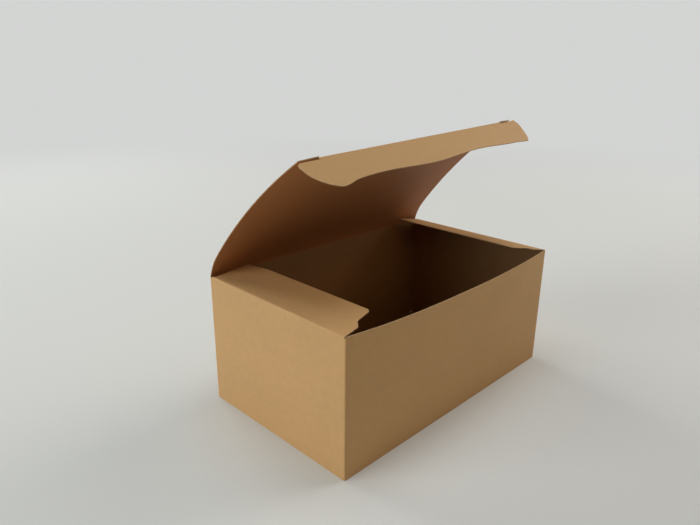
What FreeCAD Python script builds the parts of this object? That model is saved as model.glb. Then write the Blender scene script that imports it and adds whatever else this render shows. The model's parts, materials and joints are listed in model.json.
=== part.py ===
"""Takeaway box folded from one sheet of kraft board, with its tuck lid standing open.

Millimetres. The origin is the centre of the footprint on the underside of the base.
+X runs to the right of someone facing the front wall, the front wall faces -Y,
the lid hangs on the back wall at +Y, and +Z is up.
"""
import FreeCAD, Part
import math
import os

from FreeCAD import Vector

# The carton, measured over its outer faces
WIDTH = 177.0
DEPTH = 105.0
HEIGHT = 75.0
BOARD = 0.45
UPRIGHT_FOLD_RADIUS = 0.9
FRONT_BOW = 5.1

# The glued side seam, inside the right end wall
SEAM_WIDTH = 19.5
SEAM_END_TAPER = 5.0
SEAM_TOP_GAP = 1.5

# The crash-lock bottom
CORNER_RELIEF = 1.6
PANEL_OVERLAP = 3.0
PANEL_SEAM_GAP = 0.4
PANEL_SEAM_SHIFT = 1.5
TONGUE_REACH = 15.0
TONGUE_LENGTH = 44.0
TONGUE_START = 6.0
TONGUE_RADIUS = 6.0
END_FLAP_REACH = 43.0
END_FLAP_TAPER = 9.0
END_FLAP_RADIUS = 4.0
RAMP_LENGTH = 9.0
RAMP_START = 2.0
GLUE_TAB_CLEAR = 4.0

# The dust flaps on the two end walls
DUST_REACH = 25.3
DUST_FRONT_GAP = 0.5
DUST_REAR_GAP = 4.0
DUST_CORNER_GAP = 1.6
DUST_CORNER_REACH = 2.2
DUST_SHOULDER_REACH = 10.5
DUST_SHOULDER_SLOPE = 1.5
DUST_NOTCH_REACH = 3.8
DUST_NOTCH_DEPTH = 4.1
DUST_NOSE_SLOPE = 2.2
DUST_NOSE_RADIUS = 2.0
DUST_NOTCH_RADIUS = 1.6
DUST_REAR_TAPER = 2.4
DUST_REAR_TAPER_LENGTH = 16.0
DUST_REAR_RADIUS = 1.5
LEFT_DUST_TILT = 6.0
RIGHT_DUST_TILT = 11.5

# The lid: its card starts steep at the back crease, eases over the knee and bows to the front
LID_SIDE_GAP = 0.4
LID_EXTRA_LENGTH = 0.4
LID_HINGE_ANGLE = 72.0
LID_KNEE_ANGLE = 49.8
LID_FRONT_ANGLE = 32.5
LID_KNEE_LENGTH = 14.0
LID_TWIST = 3.5
CREASE_GAP = 0.45

# The slits that part the lid's two front tabs from the tuck flap
SLIT_LENGTH = 11.5
TAB_REACH = 1.2
SLIT_GAP = 0.35

# The tuck flap
TUCK_REACH = 20.8
TUCK_DROP_ANGLE = 27.0
TUCK_EAR_OVERHANG = 2.5
TUCK_SHOULDER = 9.0
TUCK_TIP_INSET = 9.2
TUCK_END_BULGE = 2.3
TUCK_EDGE_SAG = 2.0

HALF_WIDTH = WIDTH / 2
HALF_DEPTH = DEPTH / 2
HALF_BOARD = BOARD / 2
CREASE_CLEARANCE = HALF_BOARD + CREASE_GAP
LID_HALF_WIDTH = HALF_WIDTH - LID_SIDE_GAP
HINGE_Y = HALF_DEPTH - HALF_BOARD
HINGE_Z = HEIGHT - HALF_BOARD
CUTTER_HEIGHT = 10 * BOARD
LEAST_BOW = 0.001


def unit(angle):
    """Unit vector of the XY plane at an angle in degrees."""
    return Vector(math.cos(math.radians(angle)), math.sin(math.radians(angle)), 0)


def rounded_outline(corners, radii):
    """Closed wire through the corners, each rounded by its radius (0 keeps it sharp)."""
    edges = []
    ends = []
    count = len(corners)
    for i in range(count):
        corner = corners[i]
        to_last = (corners[i - 1] - corner).normalize()
        to_next = (corners[(i + 1) % count] - corner).normalize()
        if radii[i] == 0:
            ends.append((corner, corner, None))
            continue
        half = to_last.getAngle(to_next) / 2
        cut = radii[i] / math.tan(half)
        bisector = (to_last + to_next).normalize()
        middle = corner + bisector * (radii[i] / math.sin(half) - radii[i])
        ends.append((corner + to_last * cut, corner + to_next * cut, middle))
    for i in range(count):
        start, end, middle = ends[i]
        if middle is not None:
            edges.append(Part.Arc(start, middle, end).toShape())
        following = ends[(i + 1) % count][0]
        if end.distanceToPoint(following) > 1e-6:
            edges.append(Part.makeLine(end, following))
    return Part.Wire(edges)


def plate(outline, thickness):
    """Flat sheet raised from an outline in the XY plane."""
    return Part.Face(outline).extrude(Vector(0, 0, thickness))


def wall_outline(z, inset, bow):
    """Closed outline of the four walls at a height; only the front side bows outwards.

    The front side is an arc at every height, so that the two outlines of a loft match.
    """
    x = HALF_WIDTH - inset
    y = HALF_DEPTH - inset
    r = UPRIGHT_FOLD_RADIUS - inset
    k = r * (1 - math.sqrt(0.5))
    bow = max(bow, LEAST_BOW)
    front = Part.Arc(Vector(-x + r, -y, z), Vector(0, -y - bow, z), Vector(x - r, -y, z))
    right_front = Part.Arc(Vector(x - r, -y, z), Vector(x - k, -y + k, z), Vector(x, -y + r, z))
    right_back = Part.Arc(Vector(x, y - r, z), Vector(x - k, y - k, z), Vector(x - r, y, z))
    left_back = Part.Arc(Vector(-x + r, y, z), Vector(-x + k, y - k, z), Vector(-x, y - r, z))
    left_front = Part.Arc(Vector(-x, -y + r, z), Vector(-x + k, -y + k, z), Vector(-x + r, -y, z))
    return Part.Wire([
        front.toShape(),
        right_front.toShape(),
        Part.makeLine(Vector(x, -y + r, z), Vector(x, y - r, z)),
        right_back.toShape(),
        Part.makeLine(Vector(x - r, y, z), Vector(-x + r, y, z)),
        left_back.toShape(),
        Part.makeLine(Vector(-x, y - r, z), Vector(-x, -y + r, z)),
        left_front.toShape(),
    ])


def make_walls():
    """The four walls as one tube, straight at the base and bowed at the front rim."""
    solids = []
    for inset in (0.0, BOARD):
        low = wall_outline(0, inset, 0.0)
        high = wall_outline(HEIGHT, inset, FRONT_BOW)
        solids.append(Part.makeLoft([low, high], True, True))
    return solids[0].cut(solids[1])


def make_seam():
    """Glue flap of the side seam, folded from the back wall onto the right end wall."""
    x = HALF_WIDTH - 2 * BOARD
    back = HALF_DEPTH - HALF_BOARD
    free = HALF_DEPTH - BOARD - SEAM_WIDTH
    low = 2 * BOARD
    high = HEIGHT - SEAM_TOP_GAP
    outline = Part.makePolygon([
        Vector(x, back, low),
        Vector(x, back, high),
        Vector(x, free, high - SEAM_END_TAPER),
        Vector(x, free, low + SEAM_END_TAPER),
        Vector(x, back, low),
    ])
    return Part.Face(outline).extrude(Vector(BOARD + HALF_BOARD, 0, 0))


def make_long_panel(seam):
    """Long bottom panel on the front wall up to the seam, with a locking tongue beyond it."""
    front = -HALF_DEPTH + HALF_BOARD
    free = seam - PANEL_SEAM_GAP / 2
    side = HALF_WIDTH - HALF_BOARD - CORNER_RELIEF
    ramp = HALF_WIDTH - RAMP_LENGTH - RAMP_START
    panel = rounded_outline(
        [
            Vector(-side, front, 0),
            Vector(side, front, 0),
            Vector(ramp, front + side - ramp, 0),
            Vector(ramp, free, 0),
            Vector(-ramp, free, 0),
            Vector(-ramp, front + side - ramp, 0),
        ],
        [0, 0, 0, 0, 0, 0],
    )
    tongue = rounded_outline(
        [
            Vector(TONGUE_START, free - PANEL_OVERLAP, BOARD),
            Vector(TONGUE_START + TONGUE_LENGTH, free - PANEL_OVERLAP, BOARD),
            Vector(TONGUE_START + TONGUE_LENGTH, free + TONGUE_REACH, BOARD),
            Vector(TONGUE_START, free + TONGUE_REACH, BOARD),
        ],
        [0, 0, TONGUE_RADIUS, TONGUE_RADIUS],
    )
    return plate(panel, BOARD).fuse(plate(tongue, BOARD))


def make_glue_tab():
    """Corner of the long panel, folded back along 45 degrees and glued under the end flap."""
    x = HALF_WIDTH - CORNER_RELIEF - HALF_BOARD
    y = -HALF_DEPTH + CORNER_RELIEF + HALF_BOARD
    reach = HALF_DEPTH - GLUE_TAB_CLEAR - CORNER_RELIEF
    outline = rounded_outline(
        [
            Vector(x, y, BOARD),
            Vector(x - reach, y + reach, BOARD),
            Vector(x - reach, y + GLUE_TAB_CLEAR, BOARD),
            Vector(x - GLUE_TAB_CLEAR, y, BOARD),
        ],
        [0, 0, GLUE_TAB_CLEAR, 0],
    )
    return plate(outline, BOARD)


def make_end_flap():
    """Short bottom flap on the right end wall, ramped up onto the long panels."""
    outer = HALF_WIDTH - HALF_BOARD
    low = outer - RAMP_START
    high = low - RAMP_LENGTH
    free = HALF_WIDTH - END_FLAP_REACH
    lift = 2 * BOARD
    section = Part.makePolygon([
        Vector(outer, -HALF_DEPTH, 0),
        Vector(low, -HALF_DEPTH, 0),
        Vector(high, -HALF_DEPTH, lift),
        Vector(free, -HALF_DEPTH, lift),
        Vector(free, -HALF_DEPTH, lift + BOARD),
        Vector(high, -HALF_DEPTH, lift + BOARD),
        Vector(low, -HALF_DEPTH, BOARD),
        Vector(outer, -HALF_DEPTH, BOARD),
        Vector(outer, -HALF_DEPTH, 0),
    ])
    strip = Part.Face(section).extrude(Vector(0, DEPTH, 0))
    front = -HALF_DEPTH + BOARD + CORNER_RELIEF
    back = HALF_DEPTH - BOARD - CORNER_RELIEF
    outline = rounded_outline(
        [
            Vector(WIDTH, front, -BOARD),
            Vector(WIDTH, back, -BOARD),
            Vector(outer, back, -BOARD),
            Vector(free, back - END_FLAP_TAPER, -BOARD),
            Vector(free, front + END_FLAP_TAPER, -BOARD),
            Vector(outer, front, -BOARD),
        ],
        [0, 0, 0, END_FLAP_RADIUS, END_FLAP_RADIUS, 0],
    )
    return strip.common(plate(outline, CUTTER_HEIGHT))


def make_bottom():
    """Crash-lock bottom: the rear half is the front half turned round, up to the same seam."""
    front = [make_long_panel(PANEL_SEAM_SHIFT), make_glue_tab(), make_end_flap()]
    rear = [make_long_panel(-PANEL_SEAM_SHIFT), make_glue_tab(), make_end_flap()]
    for sheet in rear:
        sheet.rotate(Vector(0, 0, 0), Vector(0, 0, 1), 180)
    return front + rear


def make_dust_flap(tilt):
    """Dust flap of the left end wall, raised by its tilt above the level of the rim."""
    front = -HALF_DEPTH + DUST_FRONT_GAP
    notch_front = front + DUST_SHOULDER_SLOPE
    notch_back = notch_front + DUST_NOTCH_DEPTH
    nose = notch_back + DUST_NOSE_SLOPE
    back = HALF_DEPTH - DUST_REAR_GAP
    outline = rounded_outline(
        [
            Vector(0, front, 0),
            Vector(DUST_SHOULDER_REACH, notch_front, 0),
            Vector(DUST_SHOULDER_REACH + DUST_NOTCH_REACH, notch_back, 0),
            Vector(DUST_REACH, nose, 0),
            Vector(DUST_REACH, back - DUST_REAR_TAPER_LENGTH, 0),
            Vector(DUST_REACH - DUST_REAR_TAPER, back, 0),
            Vector(DUST_CORNER_REACH, back, 0),
            Vector(0, HALF_DEPTH - DUST_CORNER_GAP, 0),
        ],
        [0, 0, DUST_NOTCH_RADIUS, DUST_NOSE_RADIUS, 0, DUST_REAR_RADIUS, DUST_REAR_RADIUS, 0],
    )
    flap = Part.Face(outline).extrude(Vector(0, 0, -BOARD))
    flap.rotate(Vector(0, 0, 0), Vector(0, 1, 0), -tilt)
    flap.translate(Vector(-HALF_WIDTH, 0, HEIGHT))
    return flap


def make_carton():
    """Everything that is folded and glued fast: walls, seam, bottom and the two dust flaps."""
    right_dust = make_dust_flap(RIGHT_DUST_TILT).mirror(Vector(0, 0, 0), Vector(1, 0, 0))
    pieces = [make_seam()] + make_bottom() + [make_dust_flap(LEFT_DUST_TILT), right_dust]
    carton = make_walls().fuse(pieces)
    return carton.removeSplitter()


def bend(point, heading, turn, length):
    """End of an arc in the lid's side view, where x runs forwards and y upwards."""
    start = math.radians(heading)
    end = math.radians(heading + turn)
    radius = length / (end - start)
    step = Vector(math.sin(end) - math.sin(start), math.cos(start) - math.cos(end), 0)
    return point + step * radius


def lid_stations(lift):
    """Side view of the lid's mid-plane as (point, heading) pairs, from the hinge to the tab."""
    knee_turn = LID_KNEE_ANGLE - LID_HINGE_ANGLE
    bow_turn = LID_FRONT_ANGLE - LID_KNEE_ANGLE
    bow_length = DEPTH + LID_EXTRA_LENGTH - LID_KNEE_LENGTH - CREASE_CLEARANCE
    hinge = LID_HINGE_ANGLE + lift
    knee = LID_KNEE_ANGLE + lift
    front = LID_FRONT_ANGLE + lift
    start = unit(hinge) * CREASE_CLEARANCE
    knee_middle = bend(start, hinge, knee_turn / 2, LID_KNEE_LENGTH / 2)
    knee_end = bend(start, hinge, knee_turn, LID_KNEE_LENGTH)
    bow_middle = bend(knee_end, knee, bow_turn / 2, bow_length / 2)
    crease = bend(knee_end, knee, bow_turn, bow_length)
    return [
        (start, hinge),
        (knee_middle, hinge + knee_turn / 2),
        (knee_end, knee),
        (bow_middle, knee + bow_turn / 2),
        (crease, front),
        (crease + unit(front) * TAB_REACH, front),
    ]


def lid_point(x, station, offset):
    """Point of the lid in the part's frame, offset from the mid-plane towards its outer face."""
    point, heading = station
    raised = point + unit(heading + 90) * offset
    return Vector(x, HINGE_Y - raised.x, HINGE_Z + raised.y)


def lid_section(x, lift):
    """Closed section of the lid across its board at one side."""
    stations = lid_stations(lift)
    upper = [lid_point(x, station, HALF_BOARD) for station in stations]
    lower = [lid_point(x, station, -HALF_BOARD) for station in stations]
    return Part.Wire([
        Part.Arc(upper[0], upper[1], upper[2]).toShape(),
        Part.Arc(upper[2], upper[3], upper[4]).toShape(),
        Part.makeLine(upper[4], upper[5]),
        Part.makeLine(upper[5], lower[5]),
        Part.makeLine(lower[5], lower[4]),
        Part.Arc(lower[4], lower[3], lower[2]).toShape(),
        Part.Arc(lower[2], lower[1], lower[0]).toShape(),
        Part.makeLine(lower[0], upper[0]),
    ])


def crease_line():
    """Left and right ends of the crease between the lid and the tuck flap."""
    left = lid_point(-LID_HALF_WIDTH, lid_stations(0)[4], 0)
    right = lid_point(LID_HALF_WIDTH, lid_stations(LID_TWIST)[4], 0)
    return left, right


def placed(shape, origin, along, across):
    """Shape modelled in a local frame, moved so that its X runs along and its Y nearly across."""
    square = (across - along * across.dot(along)).normalize()
    turn = FreeCAD.Rotation(along, square, along.cross(square), "XYZ")
    shape.Placement = FreeCAD.Placement(origin, turn).multiply(shape.Placement)
    return shape


def make_lid():
    """Bowed and slightly twisted lid panel, with a tab beyond the crease at each side."""
    left = lid_section(-LID_HALF_WIDTH, 0)
    right = lid_section(LID_HALF_WIDTH, LID_TWIST)
    panel = Part.makeLoft([left, right], True, True)
    start, end = crease_line()
    along = (end - start).normalize()
    climb = math.radians(LID_FRONT_ANGLE + LID_TWIST / 2)
    forward = Vector(0, -math.cos(climb), math.sin(climb))
    cutter = Part.makeBox(
        start.distanceToPoint(end) - 2 * SLIT_LENGTH,
        CREASE_CLEARANCE + 2 * TAB_REACH,
        2 * CUTTER_HEIGHT,
        Vector(SLIT_LENGTH, -CREASE_CLEARANCE, -CUTTER_HEIGHT),
    )
    return panel.cut(placed(cutter, start, along, forward))


def make_tuck_flap():
    """Tuck flap with an ear beyond each slit, rounded ends, two tips and a hollow free edge."""
    start, end = crease_line()
    width = start.distanceToPoint(end)
    neck = SLIT_LENGTH + SLIT_GAP
    top = TAB_REACH + SLIT_GAP
    shoulder = Vector(-TUCK_EAR_OVERHANG, TUCK_SHOULDER, 0)
    tip = Vector(TUCK_TIP_INSET, TUCK_REACH, 0)
    outwards = (tip - shoulder).cross(Vector(0, 0, -1)).normalize()
    bulge = (shoulder + tip) / 2 + outwards * TUCK_END_BULGE

    def mirrored(point):
        return Vector(width - point.x, point.y, point.z)

    slit = [
        Vector(-TUCK_EAR_OVERHANG, top, 0),
        Vector(neck, top, 0),
        Vector(neck, CREASE_CLEARANCE, 0),
    ]
    far = [mirrored(point) for point in reversed(slit)]
    edges = [Part.Arc(tip, bulge, shoulder).toShape(), Part.makeLine(shoulder, slit[0])]
    run = slit + far + [mirrored(shoulder)]
    for first, second in zip(run, run[1:]):
        edges.append(Part.makeLine(first, second))
    edges.append(Part.Arc(mirrored(shoulder), mirrored(bulge), mirrored(tip)).toShape())
    hollow = Vector(width / 2, TUCK_REACH - TUCK_EDGE_SAG, 0)
    edges.append(Part.Arc(mirrored(tip), hollow, tip).toShape())
    flap = Part.Face(Part.Wire(edges)).extrude(Vector(0, 0, BOARD))
    flap.translate(Vector(0, 0, -HALF_BOARD))
    drop = math.radians(TUCK_DROP_ANGLE)
    down = Vector(0, -math.cos(drop), -math.sin(drop))
    return placed(flap, start, (end - start).normalize(), down)


def main():
    """Build each node, write it as a STEP file and print its size."""
    os.makedirs("parts", exist_ok=True)
    nodes = {
        "carton_body": make_carton(),
        "lid_panel": make_lid(),
        "tuck_flap": make_tuck_flap(),
    }
    for name, shape in nodes.items():
        shape.exportStep(os.path.join("parts", name + ".step"))
        box = shape.BoundBox
        print(name, "solids", len(shape.Solids), "valid", shape.isValid(), "volume %.1f" % shape.Volume)
        print("  x %.2f %.2f  y %.2f %.2f  z %.2f %.2f" % (
            box.XMin, box.XMax, box.YMin, box.YMax, box.ZMin, box.ZMax))


main()
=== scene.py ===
"""Kraft takeaway box with its tuck lid standing open: the look of each face, fold and cut edge.

Metres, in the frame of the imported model: the origin is the centre of the footprint, +X runs to
the right along the front wall, the lid hangs on the back wall at +Y and +Z is up. Every piece
starts as a flat blank that is trimmed and scored, is folded into its place and then gets the
thickness of the board.
"""
import json
import logging
import math
from collections.abc import Callable, Iterable, Sequence
from dataclasses import dataclass, field
from enum import Enum
from typing import Any

import bmesh
import bpy
from mathutils import Matrix, Vector


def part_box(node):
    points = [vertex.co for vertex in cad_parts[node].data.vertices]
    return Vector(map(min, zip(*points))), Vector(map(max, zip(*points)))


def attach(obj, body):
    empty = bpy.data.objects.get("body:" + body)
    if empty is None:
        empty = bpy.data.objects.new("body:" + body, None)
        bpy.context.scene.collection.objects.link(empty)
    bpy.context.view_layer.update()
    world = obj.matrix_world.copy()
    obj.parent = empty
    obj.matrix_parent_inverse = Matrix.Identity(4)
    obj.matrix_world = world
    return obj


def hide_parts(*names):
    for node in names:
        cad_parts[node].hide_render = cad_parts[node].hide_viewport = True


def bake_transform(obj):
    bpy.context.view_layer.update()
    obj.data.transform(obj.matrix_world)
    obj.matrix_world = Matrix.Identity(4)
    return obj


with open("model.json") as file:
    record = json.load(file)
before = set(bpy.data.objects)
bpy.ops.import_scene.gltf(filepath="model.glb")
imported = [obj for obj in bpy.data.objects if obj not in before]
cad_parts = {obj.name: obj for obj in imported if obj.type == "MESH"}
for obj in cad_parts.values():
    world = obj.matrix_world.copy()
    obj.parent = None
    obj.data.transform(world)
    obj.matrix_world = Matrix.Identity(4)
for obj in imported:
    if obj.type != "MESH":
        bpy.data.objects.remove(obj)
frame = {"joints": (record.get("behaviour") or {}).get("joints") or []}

LOG = logging.getLogger("takeaway_box")

MM = 0.001
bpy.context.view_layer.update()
JOINTS = {joint["name"]: joint for joint in frame["joints"]}
Point = tuple[float, float]
Choice = Callable[[float, float], bool]

BOARD = 0.45 * MM
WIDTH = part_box("carton_body")[1].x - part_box("carton_body")[0].x
HINGE = Vector(JOINTS["lid_hinge"]["pos_m"])
DEPTH = 2 * HINGE.y + BOARD
HEIGHT = HINGE.z + BOARD / 2
CREASE_CLEARANCE = BOARD / 2 + 0.45 * MM
BACK_WALL_START = WIDTH + 2 * DEPTH

CUT_TOLERANCE = 1e-7
WELD_DISTANCE = 1e-6
LEAST_TURN = 1e-6
ROUNDING = 1e-9
SMOOTH_ANGLE = math.radians(40)


class Axis(Enum):
    """Direction across which a blank is scored."""

    ALONG = (1.0, 0.0, 0.0)
    UP = (0.0, 1.0, 0.0)


class Face(Enum):
    """Linear colour of the kraft board on one side of the box or lid; the two inside colours are
    darker and redder than the outside one, which paints the shade of the box's interior and of the
    lid's underside into the same board.
    """

    OUTSIDE = (0.57, 0.345, 0.145)
    # Darker and browner than the outside: painted shade of the box's interior on the same kraft.
    BOX_INSIDE = (0.33, 0.185, 0.072)
    # Darker and redder still: painted shade on the lid's underside, which is the same kraft.
    LID_INSIDE = (0.41, 0.165, 0.055)


def anywhere(_x: float, _y: float) -> bool:
    """Choose every face."""
    return True


class Value:
    """Output of a shader node, with arithmetic that adds Math nodes to its tree."""

    def __init__(self, tree: bpy.types.NodeTree, socket: bpy.types.NodeSocket) -> None:
        """Keep an output socket and the tree that holds it."""
        self.tree = tree
        self.socket = socket

    def _math(self, operation: str, first: Any, second: Any) -> "Value":
        """Add one Math node.

        Args:
            operation: Name of the operation.
            first: Number or Value.
            second: Number or Value.

        Returns:
            The node's result.
        """
        node = self.tree.nodes.new("ShaderNodeMath")
        node.operation = operation
        for socket, term in zip(node.inputs, (first, second)):
            if isinstance(term, Value):
                self.tree.links.new(term.socket, socket)
            else:
                socket.default_value = term
        return Value(self.tree, node.outputs[0])

    def __add__(self, other: Any) -> "Value":
        """Sum."""
        return self._math("ADD", self, other)

    def __radd__(self, other: Any) -> "Value":
        """Sum with a number on the left."""
        return self._math("ADD", other, self)

    def __sub__(self, other: Any) -> "Value":
        """Difference."""
        return self._math("SUBTRACT", self, other)

    def __rsub__(self, other: Any) -> "Value":
        """Difference from a number on the left."""
        return self._math("SUBTRACT", other, self)

    def __mul__(self, other: Any) -> "Value":
        """Product."""
        return self._math("MULTIPLY", self, other)

    def __rmul__(self, other: Any) -> "Value":
        """Product with a number on the left."""
        return self._math("MULTIPLY", other, self)


class Surface:
    """A material or the world under construction, whose nodes are added by type."""

    def __init__(self, holder: bpy.types.Material | bpy.types.World) -> None:
        """Empty its node tree.

        Args:
            holder: Material or world that has the tree.
        """
        self.holder = holder
        holder.use_nodes = True
        self.tree = holder.node_tree
        self.tree.nodes.clear()

    def node(self, kind: str, settings: dict[str, Any] | None = None, output: int | str = 0,
             **inputs: Any) -> Value:
        """Add a node, set it and link it.

        Args:
            kind: Type of the node, without the leading ShaderNode.
            settings: Properties to set first; "stops" gives a colour ramp's stops.
            output: Output to hand back.
            **inputs: Values or links of its inputs, with underscores for spaces.

        Returns:
            The wanted output.
        """
        made = self.tree.nodes.new("ShaderNode" + kind)
        for key, value in (settings or {}).items():
            if key == "stops":
                while len(made.color_ramp.elements) < len(value):
                    made.color_ramp.elements.new(1.0)
                for element, (place, level) in zip(made.color_ramp.elements, value):
                    element.position = place
                    element.color = (level, level, level, 1.0)
            else:
                setattr(made, key, value)
        for key, value in inputs.items():
            socket = made.inputs[int(key[1:]) if key[1:].isdigit() else key.replace("_", " ")]
            if isinstance(value, Value):
                self.tree.links.new(value.socket, socket)
            else:
                socket.default_value = value
        return Value(self.tree, made.outputs[output])

    def close(self, shader: Value) -> bpy.types.Material | bpy.types.World:
        """Link the finished shader to the output.

        Args:
            shader: Result of the last shader node.

        Returns:
            The material or the world.
        """
        kind = "World" if isinstance(self.holder, bpy.types.World) else "Material"
        output = self.tree.nodes.new("ShaderNodeOutput" + kind)
        self.tree.links.new(shader.socket, output.inputs["Surface"])
        return self.holder


@dataclass(frozen=True)
class Kraft:
    """Finish of unbleached kraft board.

    Attributes:
        colour: Linear colour of the face.
        roughness: Mean roughness.
        roughness_change: How much it varies with the mottle.
        specular: Level of its reflection.
        cloud: Strength of the wide, soft variation of tone.
        mottle: Strength of the variation a few millimetres wide.
        fibre: Strength of the fibres that lie along the board.
        cross: Strength of those across it.
        fleck: Strength of the sparse dark flecks.
        fleck_range: Values of the noise between which a fleck sets in.
        relief: Height of the fibres in metres.
        relief_strength: Strength of the bump.
        cross_relief: Height of the fibres across the board, against those along it.
        mottle_relief: Height of the mottle against them.
        cloud_size: Width and height of a cloud on the flat blank.
        mottle_size: The same for the mottle.
        fibre_size: The same for the fibres along the board.
        cross_size: The same for those across it.
        fleck_size: The same for the flecks.
    """

    colour: tuple[float, float, float]
    roughness: float = 0.62
    roughness_change: float = 0.12
    specular: float = 0.28
    cloud: float = 0.10
    mottle: float = 0.12
    fibre: float = 0.10
    cross: float = 0.06
    fleck: float = 0.10
    fleck_range: Point = (0.70, 0.76)
    relief: float = 0.03 * MM
    relief_strength: float = 0.55
    cross_relief: float = 0.7
    mottle_relief: float = 0.5
    cloud_size: Point = (38 * MM, 26 * MM)
    mottle_size: Point = (5 * MM, 4 * MM)
    fibre_size: Point = (3.2 * MM, 0.45 * MM)
    cross_size: Point = (0.5 * MM, 2.4 * MM)
    fleck_size: Point = (1.1 * MM, 0.7 * MM)

    def noise(self, surface: Surface, size: Point, detail: float = 2.0) -> Value:
        """Noise that follows the board.

        Args:
            surface: Material under construction.
            size: Width and height of a feature, in metres on the flat blank.
            detail: Octaves of finer noise.

        Returns:
            Values around 0.5.
        """
        flat = surface.node("UVMap", {"uv_map": "board"})
        placed = surface.node("Mapping", Vector=flat, Scale=(1 / size[0], 1 / size[1], 1.0))
        return surface.node("TexNoise", Vector=placed, Scale=1.0, Detail=detail, Roughness=0.55)

    def build(self, name: str) -> bpy.types.Material:
        """Make the material.

        Args:
            name: Name of the material.

        Returns:
            The material.
        """
        surface = Surface(bpy.data.materials.new(name))
        cloud = self.noise(surface, self.cloud_size)
        mottle = self.noise(surface, self.mottle_size)
        fibre = self.noise(surface, self.fibre_size, 3.0)
        cross = self.noise(surface, self.cross_size, 3.0)
        fleck = surface.node(
            "ValToRGB",
            {"stops": ((0.0, 0.0), (self.fleck_range[0], 0.0), (self.fleck_range[1], 1.0))},
            Fac=self.noise(surface, self.fleck_size, 1.0))
        tone = (
            1.0
            + self.cloud * (cloud - 0.5)
            + self.mottle * (mottle - 0.5)
            + self.fibre * (fibre - 0.5)
            + self.cross * (cross - 0.5)
            - self.fleck * fleck
        )
        colour = surface.node("VectorMath", {"operation": "SCALE"}, _0=self.colour, Scale=tone)
        weave = fibre + self.cross_relief * cross + self.mottle_relief * mottle
        normal = surface.node(
            "Bump", Strength=self.relief_strength, Distance=self.relief, Height=weave)
        shader = surface.node(
            "BsdfPrincipled", Base_Color=colour, Normal=normal,
            Roughness=self.roughness + self.roughness_change * (mottle - 0.5),
            Specular_IOR_Level=self.specular)
        return surface.close(shader)


@dataclass(frozen=True)
class CutEdge:
    """Finish of the board where the die cut it, with its fibres laid open.

    Attributes:
        colour: Linear colour of the edge.
        roughness: Its roughness.
        specular: Level of its reflection.
        tone_change: How much its tone varies.
        grain: Grains in a metre.
        relief: Height of the grains in metres.
        relief_strength: Strength of the bump.
    """

    colour: tuple[float, float, float] = (0.46, 0.32, 0.18)
    roughness: float = 0.85
    specular: float = 0.15
    tone_change: float = 0.5
    grain: float = 900.0
    relief: float = 0.04 * MM
    relief_strength: float = 0.6

    def build(self, name: str) -> bpy.types.Material:
        """Make the material.

        Args:
            name: Name of the material.

        Returns:
            The material.
        """
        surface = Surface(bpy.data.materials.new(name))
        place = surface.node("TexCoord", output="Object")
        ragged = surface.node("TexNoise", Vector=place, Scale=self.grain, Detail=3.0)
        tone = 1.0 + self.tone_change * (ragged - 0.5)
        colour = surface.node("VectorMath", {"operation": "SCALE"}, _0=self.colour, Scale=tone)
        normal = surface.node(
            "Bump", Strength=self.relief_strength, Distance=self.relief, Height=ragged)
        shader = surface.node(
            "BsdfPrincipled", Base_Color=colour, Normal=normal,
            Roughness=self.roughness, Specular_IOR_Level=self.specular)
        return surface.close(shader)


@dataclass(frozen=True)
class Finish:
    """Materials of a sheet of board.

    Attributes:
        inner: Face that ends up inside the box.
        edge: Cut edges.
        outer: Face that ends up outside.
    """

    inner: bpy.types.Material
    edge: bpy.types.Material
    outer: bpy.types.Material


class Route:
    """A line of straight runs and arcs in a plane, such as a bent board seen from its end."""

    def __init__(self, start: Point, heading: float, parts: Sequence[tuple[float, float]]) -> None:
        """Lay the line out.

        Args:
            start: Where it starts.
            heading: Direction in degrees at the start.
            parts: Length and turn in degrees of each part.
        """
        self.parts: list[tuple[float, float, Vector, float, float]] = []
        place = Vector(start)
        travelled = 0.0
        for length, turn in parts:
            self.parts.append((travelled, travelled + length, place.copy(), heading, turn))
            place, heading = self._step(place, heading, length, turn, length)
            travelled += length
        self.length = travelled

    @staticmethod
    def _step(place: Vector, heading: float, length: float, turn: float,
              distance: float) -> tuple[Vector, float]:
        """Go some way along one part.

        Args:
            place: Start of the part.
            heading: Direction there in degrees.
            length: Length of the part.
            turn: Turn over the part in degrees.
            distance: How far to go.

        Returns:
            Place and direction there.
        """
        start = math.radians(heading)
        if abs(turn) < LEAST_TURN:
            return place + Vector((math.cos(start), math.sin(start))) * distance, heading
        swept = math.radians(turn) * distance / length
        radius = length / math.radians(turn)
        step = Vector((
            math.sin(start + swept) - math.sin(start),
            math.cos(start) - math.cos(start + swept),
        ))
        return place + step * radius, heading + math.degrees(swept)

    def at(self, distance: float) -> tuple[Vector, float]:
        """Point on the line, run on straight before its start and beyond its end.

        Args:
            distance: How far along the line.

        Returns:
            Place and direction there in degrees.
        """
        for first, last, place, heading, turn in self.parts:
            if distance <= last + ROUNDING:
                if distance < first:
                    return self._step(place, heading, 1.0, 0.0, distance - first)
                return self._step(place, heading, last - first, turn, distance - first)
        first, last, place, heading, turn = self.parts[-1]
        end, way = self._step(place, heading, last - first, turn, last - first)
        return self._step(end, way, 1.0, 0.0, distance - last)


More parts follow.
